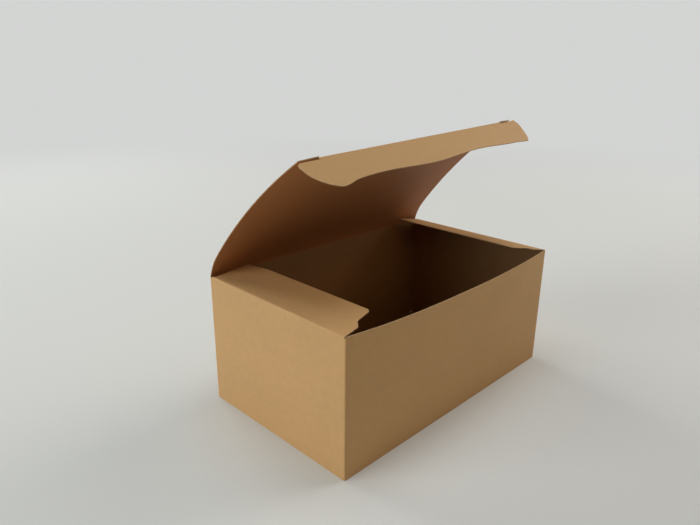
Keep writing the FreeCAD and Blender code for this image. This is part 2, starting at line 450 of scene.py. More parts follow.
class Blank:
    """A flat sheet of board in the XY plane, trimmed and scored in edit mode before it is folded."""

    def __init__(self, name: str, low: Point, high: Point) -> None:
        """Lay down a rectangle.

        Args:
            name: Name of the piece.
            low: Its lower left corner.
            high: Its upper right corner.
        """
        bpy.ops.object.select_all(action="DESELECT")
        middle = ((low[0] + high[0]) / 2, (low[1] + high[1]) / 2, 0.0)
        bpy.ops.mesh.primitive_plane_add(size=1.0, location=middle)
        self.obj = bpy.context.object
        self.obj.name = name
        self.obj.data.name = name
        self.obj.scale = (high[0] - low[0], high[1] - low[1], 1.0)
        bpy.ops.object.transform_apply(location=True, rotation=True, scale=True)

    def _edit(self, chosen: Choice | None = None) -> None:
        """Enter edit mode.

        Args:
            chosen: Which faces are selected; none where it is left out.
        """
        bpy.ops.object.select_all(action="DESELECT")
        bpy.context.view_layer.objects.active = self.obj
        self.obj.select_set(True)
        bpy.ops.object.mode_set(mode="EDIT")
        bpy.ops.mesh.select_mode(type="FACE")
        self._select(chosen)

    def _select(self, chosen: Choice | None) -> None:
        """Select faces in edit mode.

        Args:
            chosen: Says of the middle of a face whether it is selected.
        """
        bpy.ops.mesh.select_all(action="DESELECT")
        mesh = bmesh.from_edit_mesh(self.obj.data)
        for face in mesh.faces if chosen else ():
            middle = face.calc_center_median()
            face.select_set(chosen(middle.x, middle.y))
        bmesh.update_edit_mesh(self.obj.data)

    def _edit_point(self, place: Point) -> None:
        """Enter edit mode with one point selected.

        Args:
            place: The point, or a place beside it.
        """
        self._edit()
        bpy.ops.mesh.select_mode(type="VERT")
        mesh = bmesh.from_edit_mesh(self.obj.data)
        near = min(mesh.verts, key=lambda v: (v.co.xy - Vector(place)).length)
        near.select_set(True)
        bmesh.update_edit_mesh(self.obj.data)

    def trim(self, start: Point, end: Point, chosen: Choice = anywhere) -> "Blank":
        """Cut along a line and drop the board on its right.

        Args:
            start: First point of the line.
            end: Second point of the line.
            chosen: Which faces the cut goes through.

        Returns:
            The blank.
        """
        across = Vector((end[1] - start[1], start[0] - end[0], 0.0)).normalized()
        self._edit(chosen)
        bpy.ops.mesh.bisect(plane_co=(*start, 0.0), plane_no=across, threshold=CUT_TOLERANCE)
        bpy.ops.object.mode_set(mode="OBJECT")
        return self.drop(
            lambda x, y: chosen(x, y) and Vector((x - start[0], y - start[1], 0)).dot(across) > 0)

    def score(self, axis: Axis, places: Iterable[float], chosen: Choice = anywhere) -> "Blank":
        """Add bend lines across the sheet.

        Args:
            axis: Direction across the lines.
            places: Where they lie.
            chosen: Which faces they go through.

        Returns:
            The blank.
        """
        self._edit()
        for place in places:
            self._select(chosen)
            bpy.ops.mesh.bisect(
                plane_co=Vector(axis.value) * place, plane_no=axis.value, threshold=CUT_TOLERANCE)
        bpy.ops.object.mode_set(mode="OBJECT")
        return self

    def drop(self, chosen: Choice) -> "Blank":
        """Take faces away.

        Args:
            chosen: Which faces go.

        Returns:
            The blank.
        """
        self._edit(chosen)
        bpy.ops.mesh.delete(type="FACE")
        bpy.ops.object.mode_set(mode="OBJECT")
        return self

    def soften(self, corner: Point, cut: float, edges: int = 5) -> "Blank":
        """Round a corner of the outline.

        Args:
            corner: The corner.
            cut: How far from the corner the rounding starts.
            edges: Edges in the rounding.

        Returns:
            The blank.
        """
        self._edit_point(corner)
        bpy.ops.mesh.bevel(
            affect="VERTICES", offset=cut, offset_type="OFFSET", segments=edges, profile=0.5)
        bpy.ops.object.mode_set(mode="OBJECT")
        return self

    def nick(self, place: Point, shift: Point, half: float = 0.45 * MM) -> "Blank":
        """Press a small notch into a straight edge.

        Args:
            place: Point of the edge.
            shift: How far that point moves, along X or along Y.
            half: Half of the notch's width.

        Returns:
            The blank.
        """
        axis = Axis.UP if shift[0] else Axis.ALONG
        middle = place[1] if shift[0] else place[0]
        self.score(axis, [middle - half, middle, middle + half])
        self._edit_point(place)
        bpy.ops.transform.translate(value=(shift[0], shift[1], 0.0))
        bpy.ops.object.mode_set(mode="OBJECT")
        return self

    def join(self, others: Sequence["Blank"]) -> "Blank":
        """Take other blanks into this one.

        Args:
            others: Blanks that share an edge with it.

        Returns:
            The blank.
        """
        bpy.ops.object.select_all(action="DESELECT")
        for blank in others:
            blank.obj.select_set(True)
        self.obj.select_set(True)
        bpy.context.view_layer.objects.active = self.obj
        bpy.ops.object.join()
        return self

    def weld(self) -> "Blank":
        """Merge the points that lie on each other.

        Returns:
            The blank.
        """
        self._edit(anywhere)
        bpy.ops.mesh.remove_doubles(threshold=WELD_DISTANCE)
        bpy.ops.object.mode_set(mode="OBJECT")
        return self

    def fold(self, place: Callable[[float, float], Vector], origin: Point = (0.0, 0.0)) -> "Blank":
        """Keep the flat place of each point as its UV and move it to its folded place.

        Args:
            place: Folded place of a point of the flat sheet.
            origin: Where the sheet's zero lies on the whole blank.

        Returns:
            The blank.
        """
        mesh = self.obj.data
        for layer in list(mesh.uv_layers):
            mesh.uv_layers.remove(layer)
        layer = mesh.uv_layers.new(name="board")
        for loop in mesh.loops:
            flat = mesh.vertices[loop.vertex_index].co
            layer.data[loop.index].uv = (flat.x + origin[0], flat.y + origin[1])
        for vertex in mesh.vertices:
            vertex.co = place(vertex.co.x, vertex.co.y)
        mesh.update()
        return self

    def thicken(self, finish: Finish) -> bpy.types.Object:
        """Give the sheet its board thickness and its finishes.

        Args:
            finish: Materials of the board; the folded sheet's normals point inwards.

        Returns:
            The finished object.
        """
        self.obj.data.materials.clear()
        for material in (finish.inner, finish.edge, finish.outer):
            self.obj.data.materials.append(material)
        bpy.ops.object.select_all(action="DESELECT")
        bpy.context.view_layer.objects.active = self.obj
        self.obj.select_set(True)
        solid = self.obj.modifiers.new("board", "SOLIDIFY")
        solid.thickness = BOARD
        solid.offset = 0.0
        solid.use_even_offset = True
        solid.material_offset_rim = 1
        solid.material_offset = 2
        bpy.ops.object.modifier_apply(modifier=solid.name)
        bpy.ops.object.shade_smooth_by_angle(angle=SMOOTH_ANGLE)
        return self.obj


def steps(low: float, high: float, most: float) -> list[float]:
    """Even steps from low to high, none longer than most, with both ends left out."""
    count = max(1, math.ceil((high - low) / most))
    return [low + (high - low) * k / count for k in range(1, count)]


@dataclass
class DustFlap:
    """One of the two dust flaps, by its distances from its fold and from the front corner.

    Attributes:
        reach: Width of the flap.
        front_gap: Distance of its front end from the front wall.
        rear_gap: Distance of its rear end from the back wall.
        corner_gap: The same at the fold, where the rear end widens.
        corner_reach: How far from the fold it widens.
        shoulder_reach: Where the front end's straight shoulder stops.
        shoulder_slope: How far the shoulder leans back.
        notch_reach: Width of the step that leads back to the nose.
        notch_depth: How far that step goes back.
        nose_slope: How far the nose leans back.
        tip_radius: Rounding of the front tip.
        rear_taper: How much narrower the flap is at its rear end.
        rear_taper_length: Length over which it gets narrower.
        rear_radius: Rounding of the rear corner.
        tilt: Angle in degrees by which it stands above level.
        rearwards: 1 where the blank runs backwards from the front corner, -1 on the other flap.
    """

    reach: float = 25.3 * MM
    front_gap: float = 0.5 * MM
    rear_gap: float = 4.0 * MM
    corner_gap: float = 1.6 * MM
    corner_reach: float = 2.2 * MM
    shoulder_reach: float = 10.5 * MM
    shoulder_slope: float = 1.5 * MM
    notch_reach: float = 3.8 * MM
    notch_depth: float = 4.1 * MM
    nose_slope: float = 2.2 * MM
    tip_radius: float = 2.2 * MM
    rear_taper: float = 2.4 * MM
    rear_taper_length: float = 16.0 * MM
    rear_radius: float = 1.6 * MM
    tilt: float = 6.0
    rearwards: float = 1.0

    def blank(self, name: str, corner: float, fold: float) -> Blank:
        """Cut the flat flap.

        Args:
            name: Name of the blank.
            corner: Place of the front corner along the carton's blank.
            fold: Height of its fold on the blank.

        Returns:
            The blank.
        """
        way = self.rearwards

        def at(back: float, out: float) -> Point:
            """Point of the blank, by its distances from the front corner and from the fold."""
            return (corner + way * back, fold + out)

        front = self.front_gap
        back = DEPTH - self.rear_gap
        corner_back = DEPTH - self.corner_gap
        notch = front + self.shoulder_slope + self.notch_depth
        nose = notch + self.nose_slope
        shoulder = at(front + self.shoulder_slope, self.shoulder_reach)
        inner = at(notch, self.shoulder_reach + self.notch_reach)
        tip = at(nose, self.reach)
        ends = (at(front, 0.0), at(corner_back, self.reach))
        low = (min(ends[0][0], ends[1][0]), fold)
        high = (max(ends[0][0], ends[1][0]), fold + self.reach)
        blank = Blank(name, low, high)
        knee = at(back, self.corner_reach)
        blank.score(Axis.UP, [inner[1], knee[1]])

        def below(_x: float, y: float) -> bool:
            """Choose the part between the fold and the nose."""
            return y < inner[1]

        def above(_x: float, y: float) -> bool:
            """Choose the nose."""
            return y > inner[1]

        def cut(start: Point, end: Point, chosen: Choice) -> None:
            """Trim, with the board kept on the same side of both flaps."""
            blank.trim(*((end, start) if way > 0 else (start, end)), chosen)

        cut(at(front, 0.0), shoulder, below)
        cut(shoulder, inner, below)
        cut(inner, tip, above)
        cut(knee, at(corner_back, 0.0), lambda x, y: y < knee[1])
        cut(at(back, self.reach), knee, lambda x, y: y > knee[1])
        cut(at(back - self.rear_taper_length, self.reach), at(back, self.reach - self.rear_taper),
            above)
        blank.soften(tip, self.tip_radius)
        blank.soften(at(back, self.reach - self.rear_taper), self.rear_radius)
        return blank


@dataclass
class Carton:
    """Walls, side seam and dust flaps, folded from one sheet.

    Attributes:
        corner_radius: Radius of the upright folds at the middle of the board.
        front_bow: How far the front rim stands out in its middle.
        rim_drop: How far it sinks there.
        bow_left: Power of the bow's curve on the left; a higher one is fuller.
        bow_right: The same on the right.
        seam: Width of the seam flap behind the back wall.
        seam_taper: How much shorter the seam flap is at each end of its free edge.
        seam_top_gap: Distance of the seam flap from the rim.
        fold_radius: Radius of the dust flaps' folds at the middle of the board.
        base_lift: Height of the walls' lower edge.
        seam_slack: Distance of the first wall's end from the back wall.
        nicks: Places of the small nicks in the front rim.
        nick_depth: Depth of a nick.
        wall_step: Longest distance between two upright rows of points.
        rise_step: Longest distance between two level rows of points.
        fold_steps: Faces round a fold.
        left: Left dust flap.
        right: Right dust flap.
    """

    corner_radius: float = 0.675 * MM
    front_bow: float = 5.1 * MM
    rim_drop: float = 0.45 * MM
    bow_left: float = 2.8
    bow_right: float = 2.0
    seam: float = 19.5 * MM
    seam_taper: float = 5.0 * MM
    seam_top_gap: float = 1.5 * MM
    fold_radius: float = 0.6 * MM
    base_lift: float = 0.02 * MM
    seam_slack: float = 0.1 * MM
    nicks: tuple[float, ...] = (-48.6 * MM, 59.1 * MM, 68.8 * MM)
    nick_depth: float = 0.3 * MM
    wall_step: float = 5 * MM
    rise_step: float = 8 * MM
    fold_steps: int = 5
    left: DustFlap = field(default_factory=lambda: DustFlap(tilt=6.0, rearwards=1.0))
    right: DustFlap = field(default_factory=lambda: DustFlap(tilt=11.5, rearwards=-1.0))

    def __post_init__(self) -> None:
        """Work out the wall line, seen from above, and where each wall lies on the blank."""
        r = self.corner_radius
        arc = r * math.pi / 2
        side = DEPTH - BOARD - 2 * r
        front = WIDTH - BOARD - 2 * r
        start = (WIDTH / 2 - BOARD / 2, DEPTH / 2 - self.seam_slack)
        first = side + r + BOARD / 2 - self.seam_slack
        self.line = Route(start, -90.0, [
            (first, 0.0), (arc, -90.0), (front, 0.0), (arc, -90.0), (side, 0.0), (arc, -90.0),
            (front - BOARD, 0.0), (arc, -90.0), (self.seam - r, 0.0)])
        self.right_front = first + arc / 2
        self.left_front = first + arc * 1.5 + front
        self.left_back = self.left_front + arc + side
        self.back_end = self.left_back + arc + front - BOARD
        self.fold_height = HEIGHT - BOARD / 2 - self.fold_radius
        self.front_start = first + arc - BOARD / 2 - r

    def bow(self, x: float) -> float:
        """How far the front rim stands out.

        Args:
            x: Distance from the middle of the wall.

        Returns:
            Distance in front of the straight wall.
        """
        share = min(1.0, abs(x) / (WIDTH / 2 - self.corner_radius))
        power = self.bow_left if x < 0 else self.bow_right
        return self.front_bow * (1 - share ** power)

    def place(self, u: float, v: float) -> Vector:
        """Folded place of a point of the blank.

        Args:
            u: Distance along the blank.
            v: Height on the blank.

        Returns:
            The point in the part's frame.
        """
        flat, heading = self.line.at(u)
        way = math.radians(heading)
        inward = Vector((math.sin(way), -math.cos(way), 0.0))
        flap = None
        if u < self.right_front:
            flap = self.right
        elif self.left_front < u < self.left_back:
            flap = self.left
        height = v
        reach = 0.0
        if flap is not None and v > self.fold_height:
            turn = 90.0 - flap.tilt
            arc = self.fold_radius * math.radians(turn)
            bent, _ = Route((0.0, 0.0), 90.0, [(arc, -turn)]).at(v - self.fold_height)
            reach = bent.x
            height = self.fold_height + bent.y
        point = Vector((flat.x, flat.y, height)) + inward * reach
        if self.right_front < u < self.left_front:
            lean = self.bow(flat.x) * v / HEIGHT
            point.y -= lean
            point.z -= self.rim_drop * lean / self.front_bow
        return point

    def _cut(self) -> Blank:
        """Cut the walls and the seam flap from the sheet and join the dust flaps to them.

        Returns:
            The flat blank.
        """
        end = self.line.length
        blank = Blank("carton_sheet", (0.0, self.base_lift), (end, HEIGHT))

        def on_seam(x: float, _y: float) -> bool:
            """Choose the seam flap."""
            return x > self.back_end

        blank.score(Axis.ALONG, [self.back_end])
        top = HEIGHT - self.seam_top_gap
        low = 2 * BOARD
        blank.trim((end, top - self.seam_taper), (self.back_end, top), on_seam)
        blank.trim((self.back_end, low), (end, low + self.seam_taper), on_seam)
        fold = self.fold_height
        right = self.right.blank("right_flap", self.right_front, fold)
        left = self.left.blank("left_flap", self.left_front, fold)
        crease = HINGE.z - CREASE_CLEARANCE
        blank.score(Axis.UP, [fold, crease])
        for start, stop, level in (
                (0.0, self.right_front, fold),
                (self.left_front, self.left_back, fold),
                (self.left_back, self.back_end, crease)):
            blank.score(Axis.ALONG, [max(start, WELD_DISTANCE), stop])
            blank.drop(lambda x, y, a=start, b=stop, c=level: a < x < b and y > c)
        return blank.join([right, left])

    def _score(self, blank: Blank) -> None:
        """Add the lines that the sheet bends on.

        Args:
            blank: The flat blank.
        """
        bends = []
        for first, last, _, _, turn in self.line.parts:
            if turn:
                bends += [first, last] + steps(first, last, (last - first) / self.fold_steps)
            else:
                bends += steps(first, last, self.wall_step)
        bends += [
            self.right_front - self.right.front_gap,
            self.right_front - DEPTH + self.right.corner_gap,
            self.left_front + self.left.front_gap,
            self.left_front + DEPTH - self.left.corner_gap,
        ]
        blank.score(Axis.ALONG, bends)
        fold = self.fold_height
        arc = self.fold_radius * math.pi / 2
        blank.score(Axis.UP, steps(0.0, fold, self.rise_step))
        # The front wall has no flap, and a row just below its rim would cross the nicks there.
        blank.score(
            Axis.UP,
            [fold + arc * k / self.fold_steps for k in range(1, self.fold_steps + 1)]
            + steps(fold + arc, fold + self.right.reach, self.wall_step),
            lambda x, y: not self.right_front < x < self.left_front)

    def build(self, finish: Finish) -> bpy.types.Object:
        """Cut, fold and dress the sheet.

        Args:
            finish: Materials of the board.

        Returns:
            The piece.
        """
        blank = self._cut()
        self._score(blank)
        blank.weld()
        for x in self.nicks:
            blank.nick((self.front_start + WIDTH / 2 - x, HEIGHT), (0.0, -self.nick_depth))
        blank.fold(self.place)
        piece = blank.thicken(finish)
        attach(piece, "carton")
        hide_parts("carton_body")
        return piece


@dataclass
class Bottom:
    """Crash-lock bottom: two long panels with tongues, their glue tabs and two end flaps.

    Attributes:
        relief: Clearance in the corners of the walls.
        seam_gap: Gap between the two long panels.
        seam_shift: Distance of that gap from the middle.
        overlap: How far a tongue lies on its own panel.
        tongue_reach: How far it reaches over the other panel.
        tongue_length: Length of a tongue.
        tongue_start: Distance of its near end from the middle.
        tongue_radius: Rounding of its corners.
        end_reach: Width of an end flap.
        end_taper: How much narrower it is at each end of its free edge.
        end_radius: Rounding of its corners.
        ramp: Length over which it climbs onto the long panels.
        ramp_start: Distance of the climb from the end wall.
        tab_clear: Distance of a glue tab's free edge from its corners.
    """

    relief: float = 1.6 * MM
    seam_gap: float = 0.4 * MM
    seam_shift: float = 1.5 * MM
    overlap: float = 3.0 * MM
    tongue_reach: float = 15.0 * MM
    tongue_length: float = 44.0 * MM
    tongue_start: float = 6.0 * MM
    tongue_radius: float = 6.0 * MM
    end_reach: float = 43.0 * MM
    end_taper: float = 9.0 * MM
    end_radius: float = 4.0 * MM
    ramp: float = 9.0 * MM
    ramp_start: float = 2.0 * MM
    tab_clear: float = 4.0 * MM

    def _finish(self, blank: Blank, level: float, finish: Finish, turned: bool) -> bpy.types.Object:
        """Lay a blank at its level, dress it and fix it to the carton.

        Args:
            blank: The cut blank.
            level: Number of board layers below it.
            finish: Materials of the board.
            turned: Whether it is turned by half a turn about the vertical axis.

        Returns:
            The piece.
        """
        side = -1.0 if turned else 1.0
        height = (level + 0.5) * BOARD
        blank.fold(lambda x, y: Vector((side * x, side * y, height)), (0.0, -DEPTH))
        piece = blank.thicken(finish)
        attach(piece, "carton")
        return piece

    def panel(self, name: str, shift: float, finish: Finish,
              turned: bool) -> list[bpy.types.Object]:
        """Long panel with the tongue that locks over the other one.

        Args:
            name: Start of the names.
            shift: Distance of the centre seam from the middle.
            finish: Materials of the board.
            turned: Whether it is the rear one.

        Returns:
            The pieces.
        """
        front = -DEPTH / 2 + BOARD / 2
        free = shift - self.seam_gap / 2
        side = WIDTH / 2 - BOARD / 2 - self.relief
        narrow = WIDTH / 2 - self.ramp - self.ramp_start
        knee = front + side - narrow
        panel = Blank(name + "_panel", (-side, front), (side, free))
        panel.score(Axis.UP, [knee])
        panel.trim((side, front), (narrow, knee), lambda x, y: y < knee)
        panel.trim((-narrow, knee), (-side, front), lambda x, y: y < knee)
        panel.trim((narrow, knee), (narrow, free), lambda x, y: y > knee)
        panel.trim((-narrow, free), (-narrow, knee), lambda x, y: y > knee)
        tongue = Blank(
            name + "_tongue",
            (self.tongue_start, free - self.overlap),
            (self.tongue_start + self.tongue_length, free + self.tongue_reach))
        tongue.soften((self.tongue_start, free + self.tongue_reach), self.tongue_radius)
        tongue.soften(
            (self.tongue_start + self.tongue_length, free + self.tongue_reach),
            self.tongue_radius)
        return [
            self._finish(panel, 0, finish, turned),
            self._finish(tongue, 1, finish, turned),
        ]

    def tab(self, name: str, finish: Finish, turned: bool) -> bpy.types.Object:
        """Glue tab, the long panel's corner folded back along 45 degrees.

        Args:
            name: Start of the name.
            finish: Materials of the board.
            turned: Whether it belongs to the rear panel.

        Returns:
            The piece.
        """
        x = WIDTH / 2 - self.relief - BOARD / 2
        y = -DEPTH / 2 + self.relief + BOARD / 2
        reach = DEPTH / 2 - self.tab_clear - self.relief
        tab = Blank(name + "_glue_tab", (x - reach, y), (x, y + reach))
        tab.trim((x, y), (x - reach, y + reach))
        tab.trim((x - reach, y + self.tab_clear), (x - self.tab_clear, y))
        return self._finish(tab, 1, finish, turned)

    def end_flap(self, name: str, finish: Finish, turned: bool) -> bpy.types.Object:
        """Short flap on an end wall, which climbs onto the long panels.

        Args:
            name: Start of the name.
            finish: Materials of the board.
            turned: Whether it is the one on the left.

        Returns:
            The piece.
        """
        outer = WIDTH / 2 - BOARD / 2
        low = outer - self.ramp_start
        high = low - self.ramp
        free = WIDTH / 2 - self.end_reach
        edge = DEPTH / 2 - BOARD - self.relief
        flap = Blank(name + "_end_flap", (free, -edge), (outer, edge))
        flap.trim((free, -edge + self.end_taper), (outer, -edge))
        flap.trim((outer, edge), (free, edge - self.end_taper))
        flap.soften((free, -edge + self.end_taper), self.end_radius)
        flap.soften((free, edge - self.end_taper), self.end_radius)
        flap.score(Axis.ALONG, [low, high])
        side = -1.0 if turned else 1.0

        def place(x: float, y: float) -> Vector:
            """Folded place of a point of the flap."""
            climb = min(1.0, max(0.0, (low - x) / self.ramp))
            return Vector((side * x, side * y, BOARD / 2 + 2 * BOARD * climb))

        flap.fold(place, (0.0, -2 * DEPTH))
        piece = flap.thicken(finish)
        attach(piece, "carton")
        return piece

    def build(self, finish: Finish) -> list[bpy.types.Object]:
        """Make both halves of the bottom.

        Args:
            finish: Materials of the board.

        Returns:
            The pieces.
        """
        made = []
        for name, shift, turned in (
                ("bottom_front", self.seam_shift, False), ("bottom_rear", -self.seam_shift, True)):
            made += self.panel(name, shift, finish, turned)
            made.append(self.tab(name, finish, turned))
            made.append(self.end_flap(name, finish, turned))
        return made


@dataclass
class Lid:
    """Bowed and slightly twisted lid with a tab beyond the crease at each end.

    Attributes:
        side_gap: Distance of its sides from the outer faces of the end walls.
        length: Distance from the hinge to the front crease along the board.
        hinge_angle: Angle in degrees at the hinge.
        knee_angle: Angle behind the knee.
        front_angle: Angle at the front crease.
        knee_length: Length of the knee.
        twist: Angle by which the right side is raised.
        slit: Length of the slit at each end of the front crease.
        tab: How far a tab reaches beyond the crease.
        left_tab_end: The same at the outer end of the left tab.
        right_tab_end: The same at the outer end of the right tab.
        right_tab_neck: The same at the inner end of the right tab.
        nick_place: Distance from the hinge to the nick in the left side.
        nick_depth: Depth of that nick.
        knee_step: Longest distance between two rows of points in the knee.
        length_step: The same in front of it.
        width_step: The same across the lid.
    """

    side_gap: float = 0.4 * MM
    length: float = 105.4 * MM
    hinge_angle: float = 72.0
    knee_angle: float = 49.8
    front_angle: float = 32.5
    knee_length: float = 14.0 * MM
    twist: float = 3.5
    slit: float = 11.5 * MM
    tab: float = 1.2 * MM
    left_tab_end: float = 0.12 * MM
    right_tab_end: float = 0.36 * MM
    right_tab_neck: float = 0.96 * MM
    nick_place: float = 65.348 * MM
    nick_depth: float = 0.35 * MM
    knee_step: float = 1.5 * MM
    length_step: float = 5 * MM
    width_step: float = 8 * MM

    def __post_init__(self) -> None:
        """Work out the side line of the lid at its left and right edges."""
        self.half = WIDTH / 2 - self.side_gap
        self.sides = [self._side(0.0), self._side(self.twist)]

    def _side(self, lift: float) -> Route:
        """Side view of the lid, with x running forwards and y upwards from the hinge.

        Args:
            lift: Angle in degrees by which this side is raised.

        Returns:
            The line of its middle layer.
        """
        start = math.radians(self.hinge_angle + lift)
        rest = self.length - self.knee_length - CREASE_CLEARANCE
        first = (math.cos(start) * CREASE_CLEARANCE, math.sin(start) * CREASE_CLEARANCE)
        return Route(first, self.hinge_angle + lift, [
            (self.knee_length, self.knee_angle - self.hinge_angle),
            (rest, self.front_angle - self.knee_angle)])

    def place(self, x: float, distance: float) -> Vector:
        """Folded place of a point of the lid.

        Args:
            x: Place along the hinge.
            distance: Distance from the hinge along the board.

        Returns:
            The point in the part's frame.
        """
        ends = []
        for side in self.sides:
            flat, _ = side.at(distance - CREASE_CLEARANCE)
            ends.append(Vector((0.0, HINGE.y - flat.x, HINGE.z + flat.y)))
        share = (x + self.half) / (2 * self.half)
        point = ends[0].lerp(ends[1], share)
        point.x = x
        return point

    def crease(self, share: float) -> Vector:
        """Point of the front crease, from 0 at its left end to 1 at its right end."""
        return self.place((2 * share - 1) * self.half, self.length)

    def build(self, finish: Finish) -> bpy.types.Object:
        """Cut, fold and dress the lid.

        Args:
            finish: Materials of the board.

        Returns:
            The piece.
        """
        front = self.length - CREASE_CLEARANCE
        blank = Blank(
            "lid_sheet", (-self.half, CREASE_CLEARANCE), (self.half, self.length + self.tab))
        neck = self.half - self.slit
        blank.score(Axis.UP, [front])
        blank.score(Axis.ALONG, [-neck, neck])
        blank.drop(lambda x, y: abs(x) < neck and y > front)
        blank.trim((-neck, self.length + self.tab), (-self.half, self.length + self.left_tab_end),
                   lambda x, y: x < -neck and y > front)
        blank.trim((self.half, self.length + self.right_tab_end),
                   (neck, self.length + self.right_tab_neck),
                   lambda x, y: x > neck and y > front)
        blank.score(Axis.UP, steps(CREASE_CLEARANCE, self.knee_length, self.knee_step))
        blank.score(Axis.UP, steps(self.knee_length, front, self.length_step))
        blank.score(Axis.ALONG, steps(-neck, neck, self.width_step))
        blank.nick((-self.half, self.nick_place), (self.nick_depth, 0.0))
        blank.fold(self.place, (BACK_WALL_START + self.half, HEIGHT))
        piece = blank.thicken(finish)
        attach(piece, "lid")
        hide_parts("lid_panel")
        return piece


@dataclass
class Tuck:
    """Tuck flap with slit shoulders, slanting ends and a wavy free edge.

    Attributes:
        lid: The lid that it hangs on.
        reach: Distance of its tips from the crease.
        drop: Angle in degrees below level.
        overhang: How far its ears stand out beyond the lid.
        shoulder: Distance from the crease at which the wave starts to draw the board in.
        tip_inset: Distance of a tip from the lid's side.
        left_end: Outline of the left end in millimetres, by the distances from the lid's side
            and from the crease.
        right_end: Outline of the right end.
        ear_lift: How far the right ear stands up.
        ear_length: Length of the part that stands up.
        slit_gap: Width of the slits beside the lid's tabs.
        wave_length: Length of a wave of the free edge.
        wave_crest: Place of a crest along the crease.
        wave_height: Height of the wave above its mean.
        mean_reach: Mean distance of the wave from the crease.
        wave_start: Length over which the wave sets in beside a tip.
        width_step: Longest distance between two rows of points along the crease.
        reach_step: The same across the flap.
    """

    lid: Lid
    reach: float = 20.8 * MM
    drop: float = 27.0
    overhang: float = 2.5 * MM
    shoulder: float = 9.0 * MM
    tip_inset: float = 9.2 * MM
    left_end: tuple[Point, ...] = (
        (-0.2, 1.5), (-2.0, 2.6), (-2.5, 4.0), (-2.45, 6.0), (-2.2, 8.6), (-1.4, 11.3), (-0.2, 13.6),
        (0.9, 15.1), (2.9, 17.3), (5.1, 18.9), (7.1, 20.1), (9.2, 20.9))
    right_end: tuple[Point, ...] = (
        (-2.5, 5.6), (-1.6, 8.2), (-0.1, 11.0), (3.3, 16.3), (5.6, 18.6), (8.4, 20.9))
    ear_lift: float = 0.8 * MM
    ear_length: float = 10 * MM
    slit_gap: float = 0.35 * MM
    wave_length: float = 80.0 * MM
    wave_crest: float = 77.0 * MM
    wave_height: float = 1.0 * MM
    mean_reach: float = 18.7 * MM
    wave_start: float = 12 * MM
    width_step: float = 3 * MM
    reach_step: float = 4 * MM

    def __post_init__(self) -> None:
        """Work out the flap's own frame from the crease."""
        self.start = self.lid.crease(0.0)
        end = self.lid.crease(1.0)
        self.width = (end - self.start).length
        self.along = (end - self.start).normalized()
        drop = math.radians(self.drop)
        down = Vector((0.0, -math.cos(drop), -math.sin(drop)))
        self.down = (down - self.along * down.dot(self.along)).normalized()

    def edge(self, a: float) -> float:
        """Reach of the free edge.

        Args:
            a: Distance along the crease from its left end.

        Returns:
            Distance from the crease.
        """
        wave = self.mean_reach + self.wave_height * math.cos(
            math.tau * (a - self.wave_crest) / self.wave_length)
        tip = min(a, self.width - a) - self.tip_inset
        blend = min(1.0, max(0.0, tip / self.wave_start))
        smooth = blend * blend * (3 - 2 * blend)
        return self.reach + (wave - self.reach) * smooth

    def place(self, a: float, v: float) -> Vector:
        """Folded place of a point of the flap.

        Args:
            a: Distance along the crease from its left end.
            v: Distance from the crease.

        Returns:
            The point in the part's frame.
        """
        share = max(0.0, (v - self.shoulder) / (self.reach - self.shoulder))
        drawn = v + (self.edge(a) - self.reach) * share
        ear = max(0.0, 1 - (self.width + self.overhang - a) / self.ear_length)
        rise = self.ear_lift * ear * ear * max(0.0, 1 - v / self.reach)
        return self.start + self.along * a + self.down * drawn + Vector((0.0, 0.0, rise))

    def build(self, finish: Finish) -> bpy.types.Object:
        """Cut, fold and dress the flap.

        Args:
            finish: Materials of the board.

        Returns:
            The piece.
        """
        neck = self.lid.slit + self.slit_gap
        top = self.lid.tab + self.slit_gap
        blank = Blank(
            "tuck_sheet", (-self.overhang, CREASE_CLEARANCE),
            (self.width + self.overhang, self.reach))
        blank.score(Axis.UP, [top])
        blank.score(Axis.ALONG, [neck, self.width - neck])
        blank.drop(lambda x, y: y < top and (x < neck or x > self.width - neck))
        left = 2 * self.tip_inset
        right = self.width - 2 * self.tip_inset
        blank.score(Axis.ALONG, [left, right])
        for first, second in zip(self.left_end, self.left_end[1:]):
            blank.trim(
                (second[0] * MM, second[1] * MM), (first[0] * MM, first[1] * MM),
                lambda x, y: x < left)
        for first, second in zip(self.right_end, self.right_end[1:]):
            blank.trim(
                (self.width - first[0] * MM, first[1] * MM),
                (self.width - second[0] * MM, second[1] * MM),
                lambda x, y: x > right)
        blank.score(
            Axis.ALONG, steps(-self.overhang, self.width + self.overhang, self.width_step))
        blank.score(Axis.UP, steps(top, self.reach, self.reach_step))
        blank.fold(self.place, (BACK_WALL_START, HEIGHT + self.lid.length))
        piece = blank.thicken(finish)
        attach(piece, "tuck")
        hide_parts("tuck_flap")
        return piece


